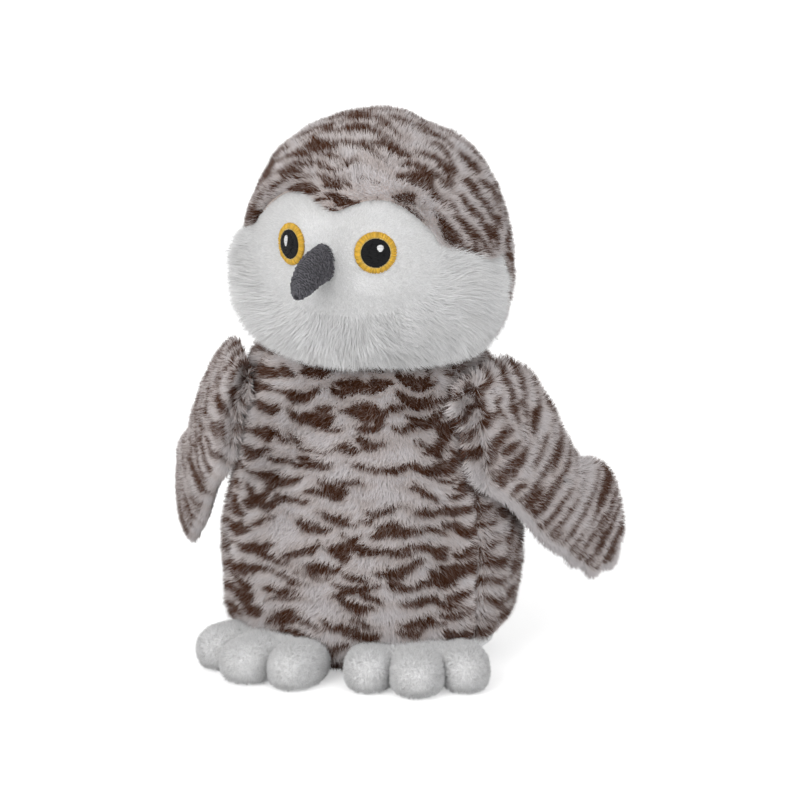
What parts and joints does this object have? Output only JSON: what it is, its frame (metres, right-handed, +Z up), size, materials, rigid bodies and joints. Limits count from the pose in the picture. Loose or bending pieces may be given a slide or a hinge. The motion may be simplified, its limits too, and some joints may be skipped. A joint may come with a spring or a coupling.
{
  "type": "stuffed toy owl",
  "caption": "Standing plush owl with a rounded striped body and hood, white ruffed face, stuffed grey beak, swept wings, three-toed feet and a short tail.",
  "frame": {"origin": "centre of the flat base that the owl stands on", "axes": "+Z up, -Y the way the body faces, +X the owl's own left"},
  "size_m": [0.199, 0.1666, 0.24],
  "materials": {
    "striped_plush": "medium-pile plush, pale grey with dark brown stripes",
    "white_short_plush": "short-pile plush, white",
    "white_long_plush": "long-pile plush, white",
    "grey_looped_plush": "looped short plush, mid grey",
    "yellow_thread": "satin-stitched embroidery, golden yellow",
    "black_thread": "satin-stitched embroidery, black",
    "white_thread": "satin-stitched embroidery, white",
    "stuffing": "loose polyester fibre",
    "pouch_cloth": "plain woven cloth",
    "pellets": "small moulded pellets, packed"
  },
  "bodies": {
    "torso": {"body_front_panel": "striped_plush", "left_back_panel": "striped_plush", "right_back_panel": "striped_plush", "base_panel": "white_short_plush", "body_stuffing": "stuffing", "pellet_pouch": "pouch_cloth", "pellets": "pellets", "left_foot_top": "white_short_plush", "left_foot_sole": "white_short_plush", "left_foot_stuffing": "stuffing", "right_foot_top": "white_short_plush", "right_foot_sole": "white_short_plush", "right_foot_stuffing": "stuffing", "hood_front": "striped_plush", "hood_back": "striped_plush", "face_panel": "white_short_plush", "ruff": "white_long_plush", "head_stuffing": "stuffing", "beak_cover": "grey_looped_plush", "beak_stuffing": "stuffing", "left_eye_ring": "yellow_thread", "right_eye_ring": "yellow_thread", "left_eye_pupil": "black_thread", "right_eye_pupil": "black_thread", "left_eye_glint": "white_thread", "right_eye_glint": "white_thread"},
    "left_wing": {"left_wing_outer": "striped_plush", "left_wing_lining": "white_short_plush", "left_wing_stuffing": "stuffing"},
    "right_wing": {"right_wing_outer": "striped_plush", "right_wing_lining": "white_short_plush", "right_wing_stuffing": "stuffing"},
    "tail": {"tail_upper": "striped_plush", "tail_lower": "white_short_plush", "tail_stuffing": "stuffing"}
  },
  "joints": [
    {"name": "left_wing_seam", "type": "hinge", "parent": "torso", "child": "left_wing", "pos_m": [0.05512, -0.02931, 0.08], "axis": [0.2061, -0.1096, -0.9724], "range_deg": [-8, 60], "stiffness_Nm_per_rad": 0.02},
    {"name": "right_wing_seam", "type": "hinge", "parent": "torso", "child": "right_wing", "pos_m": [-0.05512, -0.02931, 0.08], "axis": [0.2061, 0.1096, 0.9724], "range_deg": [-8, 60], "stiffness_Nm_per_rad": 0.02},
    {"name": "tail_seam", "type": "hinge", "parent": "torso", "child": "tail", "pos_m": [0, 0.05282, 0.0135], "axis": [1, 0, 0], "range_deg": [0, 35], "stiffness_Nm_per_rad": 0.01}
  ]
}
